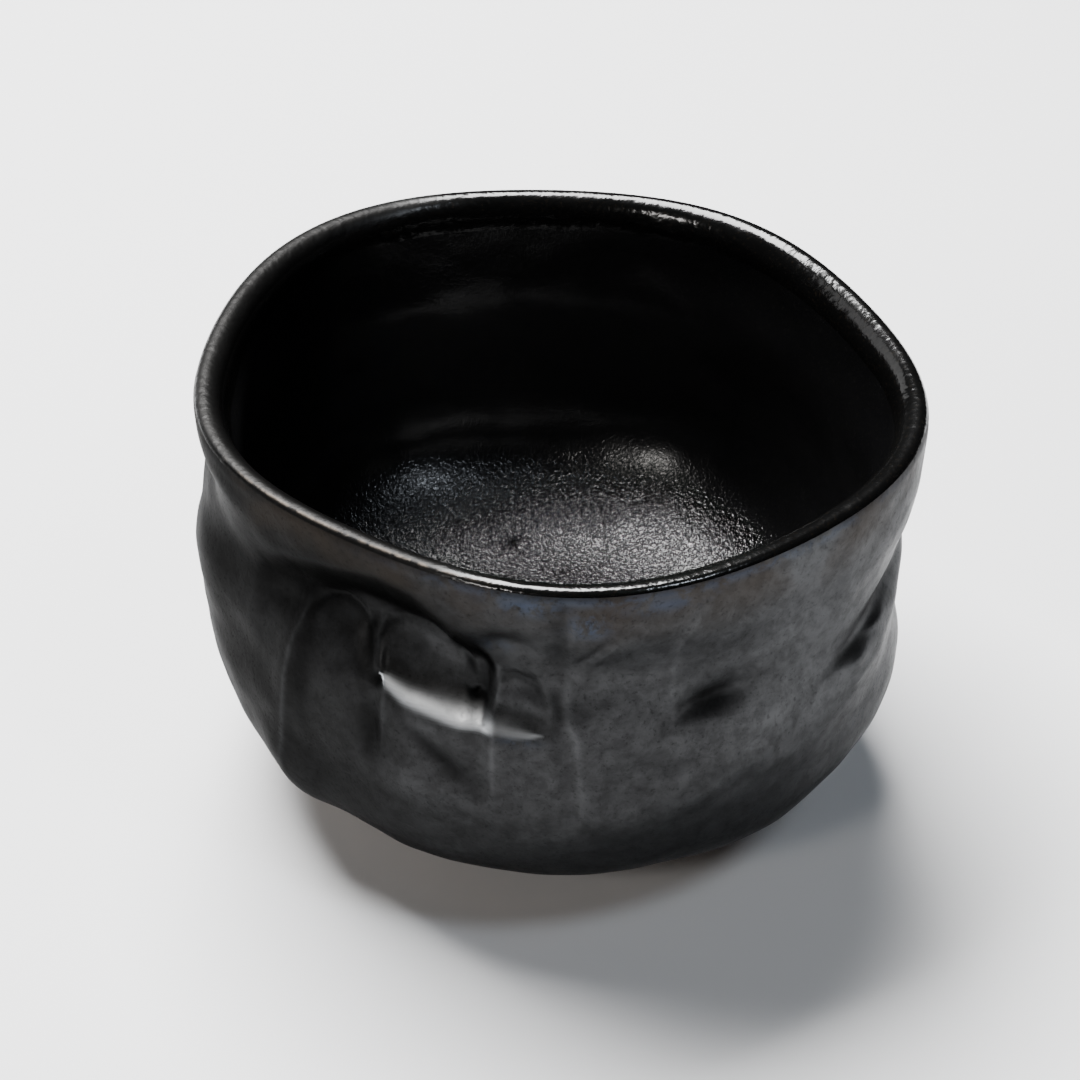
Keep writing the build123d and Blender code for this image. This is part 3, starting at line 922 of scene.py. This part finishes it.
def haze_rule(bearing, places):
    """Where the glaze went milky blue: a fringe under the lip at the front, and single patches."""
    height = height_at(places)
    along = bump((bearing - FRINGE_BEARING) / FRINGE_HALF_BEARING, 4)
    fringe = FRINGE_SHARE * along * bump((height - FRINGE_HEIGHT) / FRINGE_HALF_HEIGHT)
    return np.maximum(fringe, patches(HAZE_PATCHES, bearing, height))


def satin_rule(bearing, places):
    """Where the lip is dull pewter instead of black gloss: on the left, over its outside and its top."""
    along = np.interp(bearing, SATIN_BEARINGS, SATIN_SHARES)
    return along * (1 - smooth((places - top - SATIN_END_ROWS) / SATIN_FADE_ROWS))


def lip_line(line, bearing, places):
    """1 along a line round the lip, 0 elsewhere, faded at both ends."""
    first, last, run_in, run_out, before, half_width = line
    along = smooth((bearing - first) / run_in) * smooth((last - bearing) / run_out)
    return along * bump((places - (top - before)) / half_width)


def tan_rule(bearing, places):
    """Where the glaze broke thin over the lip's outer corner, on the left."""
    return lip_line(TAN_LINE, bearing, places)


def crack_rule(bearing, places):
    """The fine dark line between the two glazes, further left."""
    return lip_line(CRACK_LINE, bearing, places)


# pool is a painted highlight, deep is painted shade, and pewter carries painted light too.
outer_rules = {"pewter": pewter_and_light_rule, "pool": ledge_highlight_rule, "deep": painted_shade_rule, "haze": haze_rule}
outer_coat = coat(
    "outer_glaze_coat", glaze_edge, outer_seam, OUTER_ROWS, OUTER_BACK_ROWS, crowd_at_dents, outer_rules)
finish_piece(outer_coat, "outer_glaze", pewter)

lip_rules = {"satin": satin_rule, "tan": tan_rule, "crack": crack_rule}
lip_coat = coat("lip_glaze_coat", outer_seam, inner_seam, LIP_ROWS, LIP_BACK_ROWS, rules=lip_rules)
finish_piece(lip_coat, "lip_glaze", gloss)

floor_middle = number[-1] - 2.0
front = spaced(glazed, inner_seam, floor_middle, INNER_ROWS)
back = spaced(glazed, inner_seam, floor_middle, INNER_BACK_ROWS)[::-1]
grid = np.concatenate([wall_points(clay, back, columns), wall_points(glazed, front, columns)])
inner_coat = make_piece("inner_glaze_coat", grid)
finish_piece(inner_coat, "inner_glaze", leather)

# The clay lies a hair under the coats. Its underside has the spiral that the trimming tool left.
body = coated(clay, CLAY_UNDER_GLAZE)
places = spaced(clay, 0, floor_middle, CLAY_ROWS)
base_radius = np.linspace(1.0, BASE_RADIUS, BASE_ROWS)[:-1, None]
spiral = np.sin(2 * np.pi * (base_radius / TRIM_PITCH + columns / 360))
trim = TRIM_DEPTH * spiral * smooth(base_radius / 6)
base_x = WALL_SHIFT[0] + base_radius * np.cos(turn)
base_y = WALL_SHIFT[1] + base_radius * np.sin(turn)
base = np.stack([base_x, base_y, BASE_HEIGHT + trim], axis=-1)
grid = np.concatenate([base, wall_points(body, places, columns)])[:, ::2]
clay_body = make_piece("clay_body", grid, sharp_angle=35)
finish_piece(clay_body, "clay_wall", stoneware)


# ---- the foot ----
def ring_grid(profile, columns, wobble):
    """A closed section carried round the axis: radius plus wobble times slow waves, one ring per point."""
    angle = np.radians(columns)
    wave = np.sin(2 * angle + 0.4) + 0.5 * np.sin(5 * angle + 1.1) + 0.25 * np.sin(11 * angle)
    radius = profile[:, 0][:, None] + wobble * wave
    height = np.broadcast_to(profile[:, 1][:, None], radius.shape)
    return np.stack([radius * np.cos(angle), radius * np.sin(angle), height], axis=-1)


def rounded_section(corners, radii, steps=8):
    """A polygon with its corners rounded by arcs, as one closed loop of points."""
    corners = np.array(corners, float)
    loop = []
    for i, (here, radius) in enumerate(zip(corners, radii)):
        before, after = corners[i - 1], corners[(i + 1) % len(corners)]
        into = (before - here) / np.hypot(*(before - here))
        away = (after - here) / np.hypot(*(after - here))
        half = math.acos(float(np.clip(into @ away, -1, 1))) / 2
        reach = radius / math.tan(half)
        centre = here + (into + away) / np.hypot(*(into + away)) * radius / math.sin(half)
        start, end = here + into * reach - centre, here + away * reach - centre
        share = np.linspace(0, 1, steps)[:, None]
        angle = math.acos(float(np.clip(start @ end / radius**2, -1, 1)))
        arc = np.sin((1 - share) * angle) * start + np.sin(share * angle) * end
        loop.append(centre + arc / math.sin(angle))
    return np.concatenate(loop)


foot_section = rounded_section(
    [(FOOT_RADIUS - FOOT_WIDTH, FOOT_HEIGHT), (FOOT_RADIUS, FOOT_HEIGHT),
     (FOOT_RADIUS - FOOT_TAPER, 0), (FOOT_RADIUS - FOOT_WIDTH + FOOT_TAPER / 2, 0)],
    FOOT_ROUNDINGS)
foot_columns = np.arange(0, 360, 1.0)
foot = make_piece("foot_ring_turned", ring_grid(foot_section, foot_columns, FOOT_WOBBLE), loop_rows=True)
finish_piece(foot, "foot_ring", stoneware)

cove = np.linspace(0, np.pi / 2, 10)[:, None]
away = SLIP_BEAD * (1 - np.sin(cove))
slip_level = BASE_HEIGHT - SLIP_GAP - SLIP_BEAD * (1 - np.cos(cove))
outside = np.concatenate([FOOT_RADIUS + away, slip_level], axis=1)
inside = np.concatenate([FOOT_RADIUS - FOOT_WIDTH - away, slip_level], axis=1)
slip_grid = ring_grid(np.concatenate([outside, inside[::-1]]), foot_columns, SLIP_WOBBLE)
slip_ring = make_piece("slip_bead", slip_grid, loop_rows=True, sharp_angle=35)
finish_piece(slip_ring, "luting_slip", slip)


# ---- table, light and camera ----
def pale_table():
    """Plain matt white, a little cool."""
    material, shader, *_ = new_material("pale_table")
    shader.inputs["Base Color"].default_value = (0.86, 0.86, 0.865, 1)
    shader.inputs["Roughness"].default_value = 0.6
    return material


table_half = 1.6
table_mesh = bpy.data.meshes.new("table_top")
table_mesh.from_pydata([(-table_half, -table_half, 0), (table_half, -table_half, 0),
                        (table_half, table_half, 0), (-table_half, table_half, 0)], [], [(0, 1, 2, 3)])
table_top = bpy.data.objects.new("table_top", table_mesh)
scene.collection.objects.link(table_top)
table_mesh.materials.append(pale_table())

AIM = Vector((-2.61, 0.29, 44.1)) * MM


def soft_light(name, place, size, power, color=(1, 1, 1)):
    """An oblong area light turned towards the bowl."""
    data = bpy.data.lights.new(name, "AREA")
    data.shape = "RECTANGLE"
    data.size, data.size_y = size
    data.energy = power
    data.color = color
    light = bpy.data.objects.new(name, data)
    light.location = place
    light.rotation_euler = (AIM - Vector(place)).to_track_quat("-Z", "Y").to_euler()
    scene.collection.objects.link(light)


soft_light("overhead_softbox", (-0.25, 0.42, 1.0), (0.78, 0.55), 56)
soft_light("left_back_softbox", (-1.25, 1.05, 0.55), (1.1, 0.9), 3.2)
soft_light("front_left_window", (-0.75, -0.95, 0.80), (0.26, 0.22), 4, (1.0, 0.97, 0.93))
soft_light("front_right_window", (0.60, -0.44, 1.15), (0.14, 0.30), 3.4, (0.82, 0.9, 1.0))

world = bpy.data.worlds.new("studio")
world.use_nodes = True
background = world.node_tree.nodes["Background"]
background.inputs["Color"].default_value = (0.9, 0.93, 1.0, 1)
background.inputs["Strength"].default_value = 0.012
scene.world = world

CAMERA_DISTANCE = 0.520
CAMERA_ELEVATION = math.radians(37)
camera_data = bpy.data.cameras.new("camera")
camera_data.lens = 98.56
camera_data.sensor_width = 36
camera = bpy.data.objects.new("camera", camera_data)
back_off = Vector((0, -math.cos(CAMERA_ELEVATION), math.sin(CAMERA_ELEVATION)))
camera.location = AIM + back_off * CAMERA_DISTANCE
camera.rotation_euler = (-back_off).to_track_quat("-Z", "Y").to_euler()
scene.collection.objects.link(camera)
scene.camera = camera
